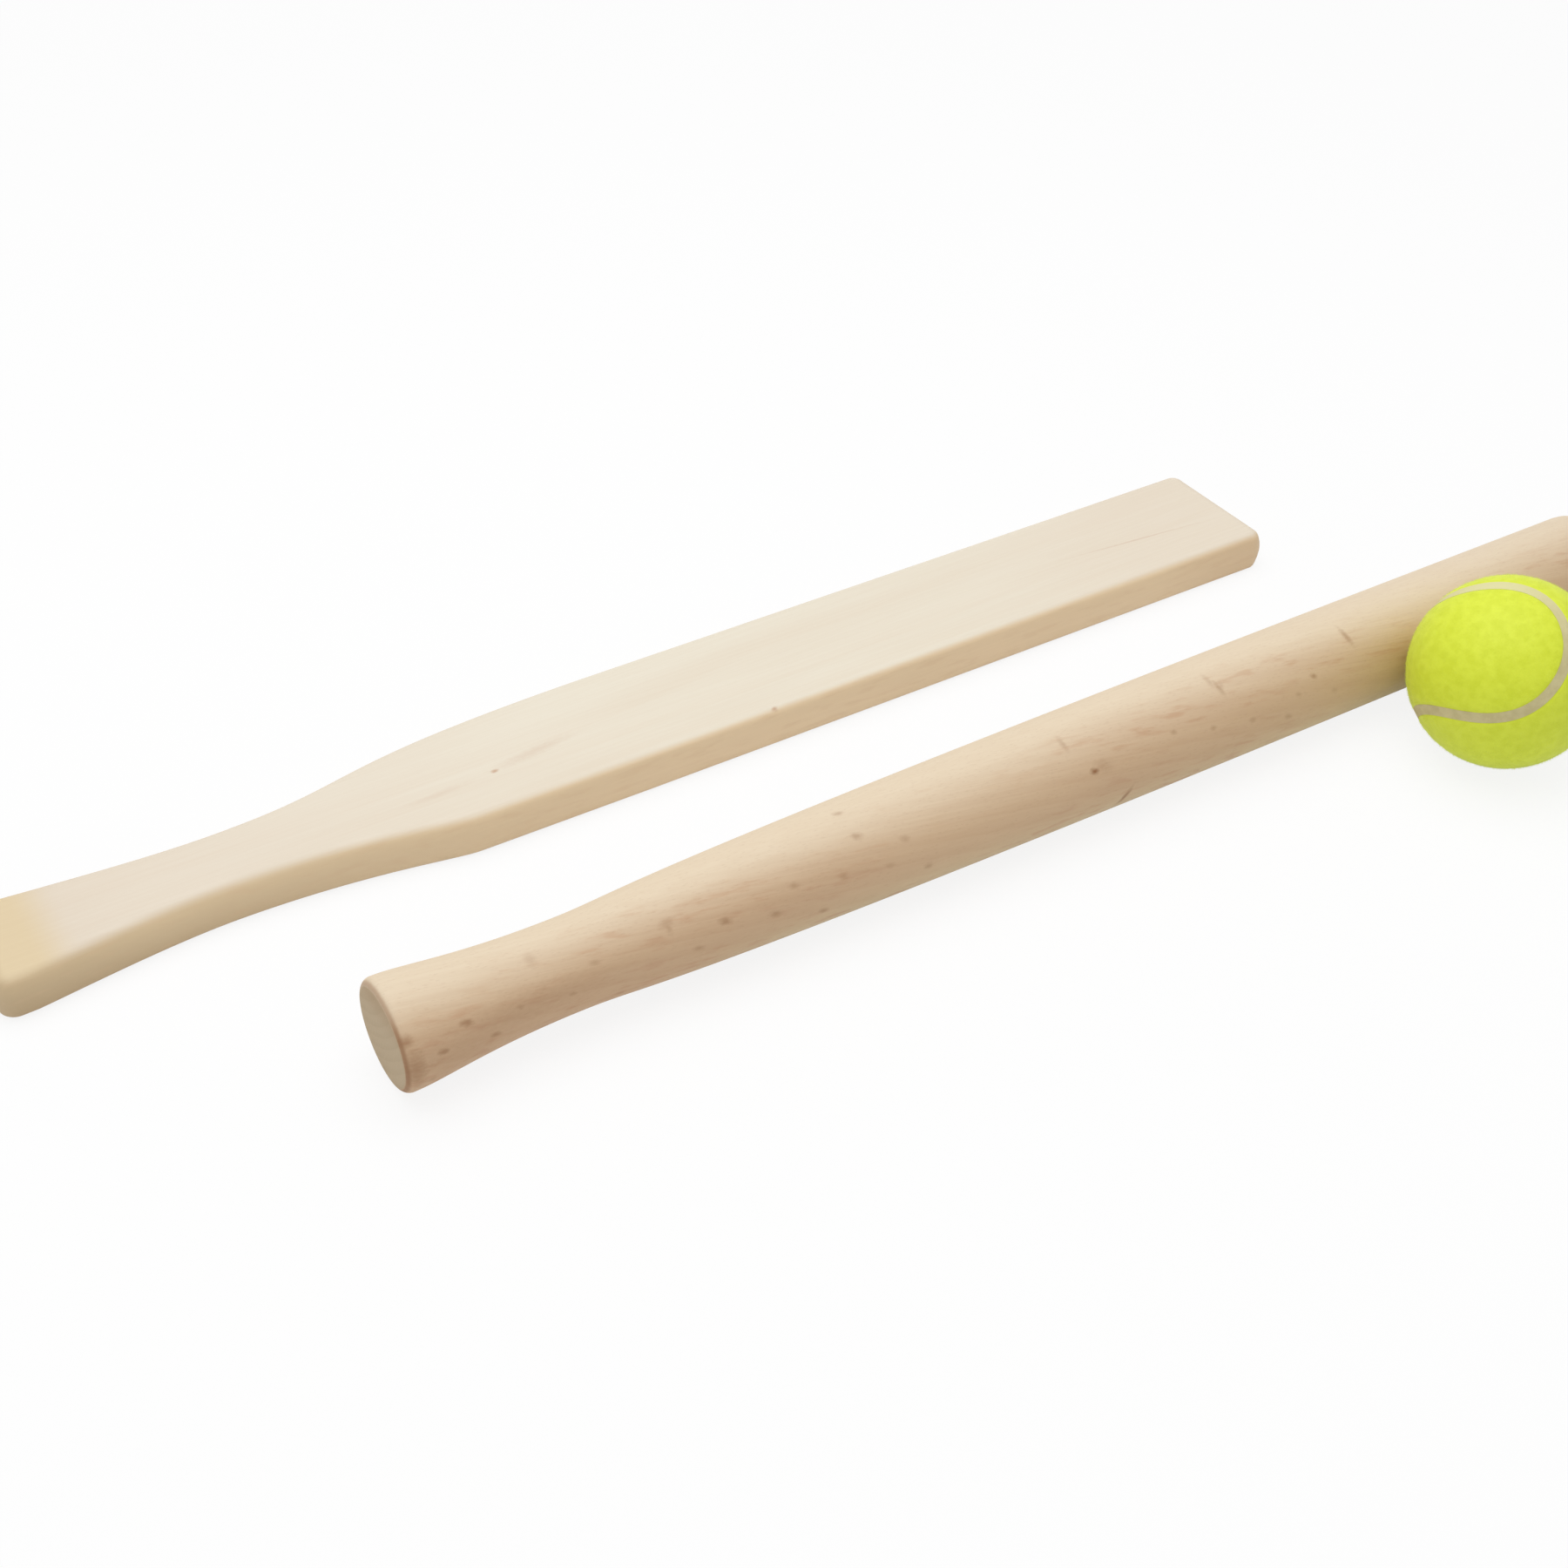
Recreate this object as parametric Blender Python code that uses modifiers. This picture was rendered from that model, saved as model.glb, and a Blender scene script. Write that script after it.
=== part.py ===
"""A rounders set laid out for play: a flat bat, a round bat and a felt-covered ball."""

import math

import bmesh
import bpy
from mathutils import Euler, Matrix, Vector

# Lengths are in metres and angles in degrees

# Flat bat, sawn from a board: distances along it run from the butt
FLAT_LENGTH = 0.500
FLAT_THICKNESS = 0.0155
BLADE_EDGE_ROUND = 0.0030
HANDLE_EDGE_ROUND = 0.0050
BLADE_WIDTH = 0.055
TIP_CORNER = 0.0045
NEAR_SHOULDER = 0.1606
FAR_SHOULDER = 0.2243
NECK_WIDTH = 0.0300
NECK_FROM_BUTT = 0.0789
GRIP_END_WIDTH = 0.0423
BUTT_CORNER = 0.0069
HANDLE_LEAN = 0.92

# Round bat, turned on a lathe: distances along it run from the butt
ROUND_LENGTH = 0.500
BARREL_DIAMETER = 0.0385
BARREL_FROM_BUTT = 0.369
GRIP_DIAMETER = 0.0293
GRIP_FROM_BUTT = 0.0587
BUTT_DIAMETER = 0.0362
BUTT_RIM = 0.0030
BUTT_FLARE = 3.0
TIP_ROUND = 0.012

# Ball: a rubber core in two halves, covered by two felt panels with a seam between them
BALL_DIAMETER = 0.067
FELT_THICKNESS = 0.0032
FELT_EDGE_ROUND = 0.0006
PANEL_WAIST = 0.0376
LOBE_SWING = 18.3
SEAM_WIDTH = 0.0034
SEAM_RECESS = 0.0006
CORE_WALL = 0.0033
BALL_TURN = (177.5, 67.6, -69.5)

# Layout on the ground, from the flat bat's butt
ROUND_BUTT_ALONG = 0.0904
ROUND_BUTT_ASIDE = 0.1093
ROUND_YAW = -0.16
BALL_ALONG = 0.4885

# Clearance between pieces that touch
FIT = 0.0003

# How far each end of a curved edge runs straight on, as a share of the curve's length
FAR_SHOULDER_EASE = 0.71
FAR_NECK_EASE = 0.40
NEAR_SHOULDER_EASE = 0.11
NEAR_NECK_EASE = 0.56
GRIP_NECK_EASE = 0.38
GRIP_BUTT_EASE = 0.10
SWELL_BARREL_EASE = 0.97
SWELL_GRIP_EASE = 0.10
FLARE_GRIP_EASE = 0.57
FLARE_BUTT_EASE = 0.19

# How finely the curved forms are cut into facets
OUTLINE_STEPS = 8
BOARD_EDGE_STEPS = 4
FELT_EDGE_STEPS = 2
TURNED_STEPS = 40
CORNER_STEPS = 5
SWELL_STEPS = 12
FLARE_STEPS = 8
CORE_STEPS = 32
CORE_RINGS = 8
PANEL_ROWS = 48
PANEL_COLUMNS = 10

# Points closer than this are welded
WELD = 0.00001

QUARTER_ARC = 4 / 3 * (math.sqrt(2) - 1)
SHARP_EDGE = math.radians(50)


def start_empty_scene():
    """Clears the scene and returns the collection that holds the set."""
    for thing in list(bpy.data.objects):
        bpy.data.objects.remove(thing, do_unlink=True)
    collection = bpy.data.collections.new("rounders_set")
    bpy.context.scene.collection.children.link(collection)
    return collection


def make_material(name, colour, roughness):
    material = bpy.data.materials.new(name)
    material.use_nodes = True
    shader = material.node_tree.nodes["Principled BSDF"]
    shader.inputs["Base Color"].default_value = (*colour, 1)
    shader.inputs["Roughness"].default_value = roughness
    shader.inputs["Metallic"].default_value = 0
    return material


def add_object(name, data, material, collection):
    thing = bpy.data.objects.new(name, data)
    data.materials.append(material)
    collection.objects.link(thing)
    return thing


def flat_bat_knots():
    """Knots of the flat bat's outline: a place, then two handles, or None where the edge runs straight."""
    half_blade = BLADE_WIDTH / 2
    tip_arc = QUARTER_ARC * TIP_CORNER
    butt_arc = QUARTER_ARC * BUTT_CORNER
    far_run = FAR_SHOULDER - NECK_FROM_BUTT
    near_run = NEAR_SHOULDER - NECK_FROM_BUTT
    grip_run = NECK_FROM_BUTT - BUTT_CORNER
    at_neck = (-GRIP_NECK_EASE * grip_run, 0)
    at_butt = (GRIP_BUTT_EASE * grip_run, 0)
    # The handle leans to the near side from where the far shoulder starts
    slope = math.tan(math.radians(HANDLE_LEAN))
    neck_middle = -slope * far_run
    butt_middle = -slope * (FAR_SHOULDER - BUTT_CORNER)
    far_neck = neck_middle + NECK_WIDTH / 2
    near_neck = neck_middle - NECK_WIDTH / 2
    far_butt = butt_middle + GRIP_END_WIDTH / 2
    near_butt = butt_middle - GRIP_END_WIDTH / 2
    return [
        ((FLAT_LENGTH - TIP_CORNER, -half_blade), None, (tip_arc, 0)),
        ((FLAT_LENGTH, TIP_CORNER - half_blade), (0, -tip_arc), None),
        ((FLAT_LENGTH, half_blade - TIP_CORNER), None, (0, tip_arc)),
        ((FLAT_LENGTH - TIP_CORNER, half_blade), (tip_arc, 0), None),
        ((FAR_SHOULDER, half_blade), None, (-FAR_SHOULDER_EASE * far_run, 0)),
        ((NECK_FROM_BUTT, far_neck), (FAR_NECK_EASE * far_run, 0), at_neck),
        ((BUTT_CORNER, far_butt), at_butt, (-butt_arc, 0)),
        ((0, far_butt - BUTT_CORNER), (0, butt_arc), None),
        ((0, near_butt + BUTT_CORNER), None, (0, -butt_arc)),
        ((BUTT_CORNER, near_butt), (-butt_arc, 0), at_butt),
        ((NECK_FROM_BUTT, near_neck), at_neck, (NEAR_NECK_EASE * near_run, 0)),
        ((NEAR_SHOULDER, -half_blade), (-NEAR_SHOULDER_EASE * near_run, 0), None),
    ]


def flat_bat_outline():
    """The flat bat's outline as a filled curve with the board's thickness."""
    curve = bpy.data.curves.new("flat_bat_outline", "CURVE")
    curve.dimensions = "2D"
    curve.fill_mode = "BOTH"
    curve.resolution_u = OUTLINE_STEPS
    curve.extrude = FLAT_THICKNESS / 2
    spline = curve.splines.new("BEZIER")
    knots = flat_bat_knots()
    spline.bezier_points.add(len(knots) - 1)
    for point, (place, before, after) in zip(spline.bezier_points, knots):
        point.co = (*place, 0)
        point.handle_left_type = "FREE" if before else "VECTOR"
        point.handle_right_type = "FREE" if after else "VECTOR"
        if before:
            point.handle_left = point.co + Vector((*before, 0))
        if after:
            point.handle_right = point.co + Vector((*after, 0))
    spline.use_cyclic_u = True
    return curve


def flat_edge_round(along):
    """How far the flat bat's edges are rounded over: from the neck to the shoulder it falls to the blade's."""
    share = (along - NECK_FROM_BUTT) / (FAR_SHOULDER - NECK_FROM_BUTT)
    share = min(max(share, 0), 1)
    return HANDLE_EDGE_ROUND + share * (BLADE_EDGE_ROUND - HANDLE_EDGE_ROUND)


def cut_board(widest_round):
    """The board as a mesh with one face on each broad side, whose edges hold their weights for rounding."""
    outline = bpy.data.objects.new("flat_bat_outline", flat_bat_outline())
    bpy.context.scene.collection.objects.link(outline)
    evaluated = outline.evaluated_get(bpy.context.evaluated_depsgraph_get())
    mesh = bpy.data.meshes.new_from_object(evaluated)
    bpy.data.objects.remove(outline, do_unlink=True)
    board = bmesh.new()
    board.from_mesh(mesh)
    bmesh.ops.remove_doubles(board, verts=board.verts, dist=WELD)
    bmesh.ops.recalc_face_normals(board, faces=board.faces)
    for up in (1, -1):
        broad = [face for face in board.faces if face.normal.z * up > 0.5]
        bmesh.ops.dissolve_faces(board, faces=broad)
    weights = board.edges.layers.float.new("bevel_weight_edge")
    for edge in board.edges:
        tilts = sorted(abs(face.normal.z) for face in edge.link_faces)
        if tilts[0] < 0.5 < tilts[1]:
            middle = (edge.verts[0].co.x + edge.verts[1].co.x) / 2
            edge[weights] = flat_edge_round(middle) / widest_round
    board.to_mesh(mesh)
    board.free()
    mesh.shade_smooth()
    return mesh


def make_flat_bat(collection, origin):
    """A board cut to its outline, with its edges rounded over for the hand and less so on the blade."""
    widest_round = max(HANDLE_EDGE_ROUND, BLADE_EDGE_ROUND)
    pale_wood = make_material("pale_wood", (0.80, 0.72, 0.56), 0.55)
    bat = add_object("flat_bat", cut_board(widest_round), pale_wood, collection)
    bat.location = Vector((0, 0, FLAT_THICKNESS / 2)) - origin
    edge = bat.modifiers.new("rounded edges", "BEVEL")
    edge.width = widest_round
    edge.segments = BOARD_EDGE_STEPS
    edge.limit_method = "WEIGHT"
    edge.use_clamp_overlap = False


def arc_points(centre, radius, first, last, steps):
    """Points on an arc in the plane of radius and height, from one angle to another."""
    points = []
    for step in range(steps + 1):
        angle = math.radians(first + (last - first) * step / steps)
        points.append((centre[0] + radius * math.cos(angle), centre[1] + radius * math.sin(angle)))
    return points


def curve_points(start, after_start, before_end, end, steps):
    """Points on a cubic curve, without its two ends."""
    points = []
    for step in range(1, steps):
        t = step / steps
        near_start = Vector(start).lerp(Vector(after_start), t)
        between = Vector(after_start).lerp(Vector(before_end), t)
        near_end = Vector(before_end).lerp(Vector(end), t)
        points.append(near_start.lerp(between, t).lerp(between.lerp(near_end, t), t))
    return points


def round_bat_profile():
    """Half of the round bat's section, as radius and height above the butt, from the tip down."""
    barrel = BARREL_DIAMETER / 2
    grip = GRIP_DIAMETER / 2
    tip = arc_points((barrel - TIP_ROUND, ROUND_LENGTH - TIP_ROUND), TIP_ROUND, 90, 0, CORNER_STEPS)
    rim_centre = (BUTT_DIAMETER / 2 - BUTT_RIM, BUTT_RIM)
    rim = arc_points(rim_centre, BUTT_RIM, BUTT_FLARE, -90, CORNER_STEPS)

    barrel_end = (barrel, BARREL_FROM_BUTT)
    waist = (grip, GRIP_FROM_BUTT)
    swell_run = BARREL_FROM_BUTT - GRIP_FROM_BUTT
    after_barrel = (barrel, BARREL_FROM_BUTT - SWELL_BARREL_EASE * swell_run)
    before_waist = (grip, GRIP_FROM_BUTT + SWELL_GRIP_EASE * swell_run)
    swell = curve_points(barrel_end, after_barrel, before_waist, waist, SWELL_STEPS)

    rim_radius, rim_height = rim[0]
    flare_run = GRIP_FROM_BUTT - rim_height
    lead = FLARE_BUTT_EASE * flare_run
    after_waist = (grip, GRIP_FROM_BUTT - FLARE_GRIP_EASE * flare_run)
    before_rim = (rim_radius - lead * math.tan(math.radians(BUTT_FLARE)), rim_height + lead)
    flare = curve_points(waist, after_waist, before_rim, rim[0], FLARE_STEPS)
    return [(0, ROUND_LENGTH), *tip, barrel_end, *swell, waist, *flare, *rim, (0, 0)]


def turn(name, profile, steps, material, collection):
    """A solid turned about its own Z axis from a profile of radius and height."""
    mesh = bpy.data.meshes.new(name)
    corners = [(radius, 0, height) for radius, height in profile]
    mesh.from_pydata(corners, [(i, i + 1) for i in range(len(corners) - 1)], [])
    solid = add_object(name, mesh, material, collection)
    screw = solid.modifiers.new("turning", "SCREW")
    screw.axis = "Z"
    screw.steps = steps
    screw.render_steps = steps
    screw.use_merge_vertices = True
    screw.merge_threshold = WELD
    screw.use_smooth_shade = True
    return solid


def round_bat_place():
    """The matrix that lays the round bat on the ground, along its barrel."""
    place = Matrix.Translation((ROUND_BUTT_ALONG, -ROUND_BUTT_ASIDE, BARREL_DIAMETER / 2))
    yaw = Matrix.Rotation(math.radians(ROUND_YAW), 4, "Z")
    lay_down = Matrix.Rotation(math.pi / 2, 4, "Y")
    return place @ yaw @ lay_down


def make_round_bat(collection, origin):
    beech = make_material("beech", (0.66, 0.47, 0.32), 0.5)
    bat = turn("round_bat", round_bat_profile(), TURNED_STEPS, beech, collection)
    bat.matrix_world = Matrix.Translation(-origin) @ round_bat_place()


def ball_place():
    """The ball's centre: on the ground, resting against the round bat's barrel."""
    radius = BALL_DIAMETER / 2
    bat = round_bat_place()
    butt = bat.translation
    direction = bat.to_3x3() @ Vector((0, 0, 1))
    beside = butt + direction * (BALL_ALONG - butt.x) / direction.x
    reach = radius + BARREL_DIAMETER / 2 + FIT
    aside = math.sqrt(reach**2 - (radius - beside.z) ** 2)
    return Vector((beside.x, beside.y - aside, radius))


def seam_point(t, aside):
    """A point of the unit ball beside the seam at angle t: aside is an angle towards the upper panel."""
    reach = math.pi / 2 - PANEL_WAIST / BALL_DIAMETER
    swing = math.radians(LOBE_SWING)
    latitude = reach * math.sin(2 * t)
    longitude = t - swing * math.sin(4 * t)
    north = Euler((0, -latitude, longitude)).to_matrix()
    place = north @ Vector((1, 0, 0))
    east_rate = (1 - 4 * swing * math.cos(4 * t)) * math.cos(latitude)
    along = north @ Vector((0, east_rate, 2 * reach * math.cos(2 * t)))
    towards_panel = place.cross(along).normalized()
    return place * math.cos(aside) + towards_panel * math.sin(aside)


def panel_point(along, across):
    """A point of the unit ball on the upper dog-bone panel: along and across run from -1 to 1."""
    side = Vector((1, 1, 0)).normalized()
    edge = seam_point(math.pi / 4 + along * math.pi / 2, SEAM_WIDTH / BALL_DIAMETER)
    reach = edge.dot(side)
    middle = (edge - side * reach).normalized()
    angle = across * math.asin(reach)
    return middle * math.cos(angle) + side * math.sin(angle)


def strip_point(along, across):
    """A point of the unit ball on the seam strip, which goes once round as along runs from -1 to 1."""
    half_width = (SEAM_WIDTH - 2 * FIT) / BALL_DIAMETER
    return seam_point(math.pi / 4 + along * math.pi, across * half_width)


def make_skin(name, point_at, rows, columns, radius, thickness, material, collection):
    """A sheet laid over the ball by a grid, and thickened from its radius towards the centre."""
    sheet = bmesh.new()
    bmesh.ops.create_grid(sheet, x_segments=rows, y_segments=columns, size=1)
    for vertex in sheet.verts:
        vertex.co = point_at(vertex.co.x, vertex.co.y) * radius
    bmesh.ops.remove_doubles(sheet, verts=sheet.verts, dist=radius * 1e-5)
    inner = bmesh.ops.extrude_face_region(sheet, geom=sheet.faces[:], use_keep_orig=True)
    for vertex in inner["geom"]:
        if isinstance(vertex, bmesh.types.BMVert):
            vertex.co *= 1 - thickness / radius
    bmesh.ops.recalc_face_normals(sheet, faces=sheet.faces)
    mesh = bpy.data.meshes.new(name)
    sheet.to_mesh(mesh)
    sheet.free()
    mesh.shade_smooth()
    mesh.set_sharp_from_angle(angle=SHARP_EDGE)
    return add_object(name, mesh, material, collection)


def round_edges(piece, width):
    edge = piece.modifiers.new("rounded edge", "BEVEL")
    edge.width = width
    edge.segments = FELT_EDGE_STEPS
    edge.limit_method = "ANGLE"
    edge.angle_limit = SHARP_EDGE


def core_half_profile():
    """Section of one rubber cup, down its outside and up its inside."""
    outer = BALL_DIAMETER / 2 - FELT_THICKNESS - FIT
    inner = outer - CORE_WALL
    rim = FIT / 2
    outside = arc_points((0, 0), outer, 90, math.degrees(math.asin(rim / outer)), CORE_RINGS)
    inside = arc_points((0, 0), inner, math.degrees(math.asin(rim / inner)), 90, CORE_RINGS)
    return [(0, outer), *outside[1:], *inside[:-1], (0, inner)]


def make_ball(collection, origin):
    """Two rubber cups, two dog-bone felt panels and the seam, all carried by one empty at the centre."""
    radius = BALL_DIAMETER / 2
    rubber = make_material("rubber", (0.05, 0.05, 0.05), 0.7)
    felt = make_material("felt", (0.60, 0.72, 0.06), 0.95)
    cement = make_material("seam_cement", (0.58, 0.52, 0.38), 0.8)

    core = turn("core_half_top", core_half_profile(), CORE_STEPS, rubber, collection)
    panel = make_skin(
        "felt_panel_front", panel_point, PANEL_ROWS, PANEL_COLUMNS, radius, FELT_THICKNESS, felt, collection
    )
    round_edges(panel, FELT_EDGE_ROUND)
    seam_thickness = FELT_THICKNESS - SEAM_RECESS
    seam = make_skin(
        "ball_seam", strip_point, 2 * PANEL_ROWS, 1, radius - SEAM_RECESS, seam_thickness, cement, collection
    )

    # The second cup and the second panel are the first ones upside down
    other_core = core.copy()
    other_core.name = "core_half_bottom"
    other_panel = panel.copy()
    other_panel.name = "felt_panel_back"
    for copied in (other_core, other_panel):
        collection.objects.link(copied)
        copied.rotation_euler = Euler((math.pi, 0, 0))

    centre = bpy.data.objects.new("ball_centre", None)
    collection.objects.link(centre)
    centre.location = ball_place() - origin
    centre.rotation_euler = Euler([math.radians(angle) for angle in BALL_TURN])
    for piece in (core, other_core, panel, other_panel, seam):
        piece.parent = centre


def set_origin():
    """The middle of the ground that the set covers, measured from the flat bat's butt."""
    round_tip = round_bat_place() @ Vector((0, 0, ROUND_LENGTH))
    ball_side = ball_place().y - BALL_DIAMETER / 2
    return Vector((round_tip.x / 2, (BLADE_WIDTH / 2 + ball_side) / 2, 0))


def main():
    collection = start_empty_scene()
    origin = set_origin()
    make_flat_bat(collection, origin)
    make_round_bat(collection, origin)
    make_ball(collection, origin)


main()
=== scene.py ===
# %% [markdown]
# # A rounders set
# The set is a flat bat sawn from a board, a round bat turned on a lathe, and a ball in two felt panels.
# Its solids are already built and placed. This lesson loads them as a fixed frame, models finer pieces in the
# same places, and gives each surface the finish of the real one.

# %% Load the frame
import math

import bmesh
import bpy
import numpy as np
from mathutils import Euler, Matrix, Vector


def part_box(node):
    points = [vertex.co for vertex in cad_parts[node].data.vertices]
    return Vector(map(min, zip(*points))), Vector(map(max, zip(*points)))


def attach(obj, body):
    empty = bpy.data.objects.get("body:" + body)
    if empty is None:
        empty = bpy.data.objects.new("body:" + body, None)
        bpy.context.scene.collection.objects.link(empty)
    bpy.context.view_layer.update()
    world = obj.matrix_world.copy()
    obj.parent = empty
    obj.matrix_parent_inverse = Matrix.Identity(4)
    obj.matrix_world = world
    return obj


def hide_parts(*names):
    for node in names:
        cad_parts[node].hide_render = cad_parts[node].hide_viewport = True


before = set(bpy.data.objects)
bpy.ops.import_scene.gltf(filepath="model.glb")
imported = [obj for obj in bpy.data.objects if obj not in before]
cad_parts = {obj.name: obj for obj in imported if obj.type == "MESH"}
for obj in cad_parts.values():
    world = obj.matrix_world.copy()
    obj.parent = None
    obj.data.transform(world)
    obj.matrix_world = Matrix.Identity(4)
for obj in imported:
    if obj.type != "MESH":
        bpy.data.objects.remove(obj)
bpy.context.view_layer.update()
MM = 0.001
print("solids:", ", ".join(sorted(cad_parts)))

# %% [markdown]
# ## The bench
# Most pieces are modelled in edit mode, where an operator works on whatever is selected. These helpers open a
# piece with nothing selected, pick parts of it by a test on their place or normal, and close it again.

# %% Helpers for edit mode
SELECT_MODES = {"verts": "VERT", "edges": "EDGE", "faces": "FACE"}


def make_active(piece):
    bpy.ops.object.select_all(action="DESELECT")
    piece.select_set(True)
    bpy.context.view_layer.objects.active = piece


def start_editing(piece):
    make_active(piece)
    bpy.ops.object.mode_set(mode="EDIT")
    bpy.ops.mesh.select_all(action="DESELECT")


def pick(piece, parts, test):
    """Selects the verts, edges or faces that pass the test, and nothing else."""
    bpy.ops.mesh.select_mode(type=SELECT_MODES[parts])
    bpy.ops.mesh.select_all(action="DESELECT")
    mesh = bmesh.from_edit_mesh(piece.data)
    mesh.normal_update()
    for part in getattr(mesh, parts):
        part.select_set(bool(test(part)))
    mesh.select_flush_mode()
    bmesh.update_edit_mesh(piece.data)


def stop_editing(smooth_below=40):
    """Closes edit mode, turns the faces outwards and shades what bends gently as smooth."""
    bpy.ops.mesh.select_all(action="SELECT")
    bpy.ops.mesh.normals_make_consistent(inside=False)
    bpy.ops.object.mode_set(mode="OBJECT")
    bpy.ops.object.shade_smooth_by_angle(angle=math.radians(smooth_below))


def apply_modifier(piece, name, kind, **settings):
    make_active(piece)
    modifier = piece.modifiers.new(name, kind)
    for setting, value in settings.items():
        setattr(modifier, setting, value)
    bpy.ops.object.modifier_apply(modifier=name)


def settle(piece, name):
    """Names the active piece and puts its place into its mesh, so that its object sits at the origin."""
    piece.name = name
    piece.data.name = name
    make_active(piece)
    bpy.ops.object.transform_apply(location=True, rotation=True, scale=True)
    return piece


def store_values(piece, name, values):
    """Keeps one number for each vertex on the mesh, for a material to read."""
    attribute = piece.data.attributes.new(name, "FLOAT", "POINT")
    attribute.data.foreach_set("value", np.asarray(values, np.float32))


def count_triangles(piece):
    return sum(len(face.vertices) - 2 for face in piece.data.polygons)


print("bench ready")

# %% [markdown]
# ## Curved edges
# Both bats are drawn with edges that run straight along the bat, bend, and run straight again. A cubic curve
# with both handles parallel to the bat does that, and the two eases say how far each end stays straight.

# %% Eased edge
EDGE_SAMPLES = 121


def eased_edge(start, end, start_ease, end_ease):
    """Points from start to end, each a distance along the bat and a distance aside."""
    run = end[0] - start[0]
    after_start = (start[0] + start_ease * run, start[1])
    before_end = (end[0] - end_ease * run, end[1])
    t = np.linspace(0, 1, EDGE_SAMPLES)[:, None]
    weights = np.hstack([(1 - t) ** 3, 3 * t * (1 - t) ** 2, 3 * t**2 * (1 - t), t**3])
    return weights @ np.array([start, after_start, before_end, end])


print("an eased edge has", EDGE_SAMPLES, "points")

# %% [markdown]
# ## Flat bat: outline
# The real bat is cut from a board on a band saw. Its far edge swells early and its near edge has a short
# shoulder, and the handle leans a little. The overall size comes from the solid, and the rest is drawn here.
# The tip starts a little longer, because its edges are sanded back later.

# %% Flat bat outline
flat_low, flat_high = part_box("flat_bat")
TIP_EXTRA = 1.8 * MM
FLAT_LENGTH = flat_high.x - flat_low.x + TIP_EXTRA
FLAT_THICKNESS = flat_high.z - flat_low.z
BLADE_WIDTH = flat_high.y - flat_low.y
BLADE_MIDDLE = (flat_high.y + flat_low.y) / 2
NECK_ALONG, NECK_WIDTH = 78.9 * MM, 32 * MM
BUTT_CORNER, GRIP_END_WIDTH = 6.9 * MM, 45 * MM
FAR_SHOULDER, NEAR_SHOULDER = 224.3 * MM, 160.6 * MM
HANDLE_SLOPE = math.tan(math.radians(0.92))
HANDLE_EASES, FAR_EASES, NEAR_EASES = (0.10, 0.38), (0.40, 0.71), (0.56, 0.11)


def handle_middle(along):
    return -HANDLE_SLOPE * (FAR_SHOULDER - along)


def bat_edge(side, shoulder, blade_eases):
    """One long edge of the flat bat: side is 1 for the far edge and -1 for the near one."""
    butt = (BUTT_CORNER, handle_middle(BUTT_CORNER) + side * GRIP_END_WIDTH / 2)
    neck = (NECK_ALONG, handle_middle(NECK_ALONG) + side * NECK_WIDTH / 2)
    blade = (shoulder, side * BLADE_WIDTH / 2)
    return np.vstack([eased_edge(butt, neck, *HANDLE_EASES), eased_edge(neck, blade, *blade_eases)])


far_edge = bat_edge(1, FAR_SHOULDER, FAR_EASES)
near_edge = bat_edge(-1, NEAR_SHOULDER, NEAR_EASES)


def flat_section(along):
    """The bat's middle and its width at a distance from the butt."""
    far = np.interp(along, far_edge[:, 0], far_edge[:, 1])
    near = np.interp(along, near_edge[:, 0], near_edge[:, 1])
    return (far + near) / 2, far - near


print(f"flat bat: {FLAT_LENGTH:.4f} m long, {BLADE_WIDTH:.4f} wide, {FLAT_THICKNESS:.4f} thick")

# %% [markdown]
# ## Flat bat: board
# A plane cut to the outline would need its face filled again. Here a block at the butt is extruded in steps
# along the handle, and each new end is moved and widened to the outline, so all faces stay clean quads.

# %% Flat bat board
FIRST_STATION, LAST_STATION = 12 * MM, FLAT_LENGTH - 8 * MM
HANDLE_STEP, BLADE_STEP = 3 * MM, 20 * MM
board_height = flat_low.z + FLAT_THICKNESS / 2
stations = [
    *np.arange(FIRST_STATION, FAR_SHOULDER, HANDLE_STEP),
    *np.arange(FAR_SHOULDER + HANDLE_STEP, LAST_STATION, BLADE_STEP),
    LAST_STATION,
    FLAT_LENGTH,
]


def section_centre(along):
    return Vector((flat_low.x + along, BLADE_MIDDLE + flat_section(along)[0], board_height))


bpy.ops.mesh.primitive_cube_add(
    size=1,
    location=section_centre(0) + Vector((FIRST_STATION / 2, 0, 0)),
    scale=(FIRST_STATION, flat_section(0)[1], FLAT_THICKNESS),
)
flat_bat = settle(bpy.context.object, "flat_bat_wood")
start_editing(flat_bat)
pick(flat_bat, "faces", lambda face: face.normal.x > 0.9)
last = 0
for along in stations:
    move = section_centre(along) - section_centre(last)
    if along == FIRST_STATION:
        bpy.ops.transform.translate(value=(0, move.y, 0))
    else:
        bpy.ops.mesh.extrude_region_move(TRANSFORM_OT_translate={"value": move})
    widen = flat_section(along)[1] / flat_section(last)[1]
    bpy.ops.transform.resize(value=(1, widen, 1), center_override=section_centre(along))
    last = along
print("board:", len(stations), "sections")

# %% [markdown]
# ## Flat bat: crowned sides
# The maker sands the saw's sides over into a crown, full on the handle where the hand closes round it, slight
# on the blade and fuller again at the tip. The far upper edge is sanded less than the near one. The corners
# in plan are bevelled first. Level cuts then ring the sides, and each ring moves inwards the more, the nearer
# it lies to a broad face.

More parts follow.
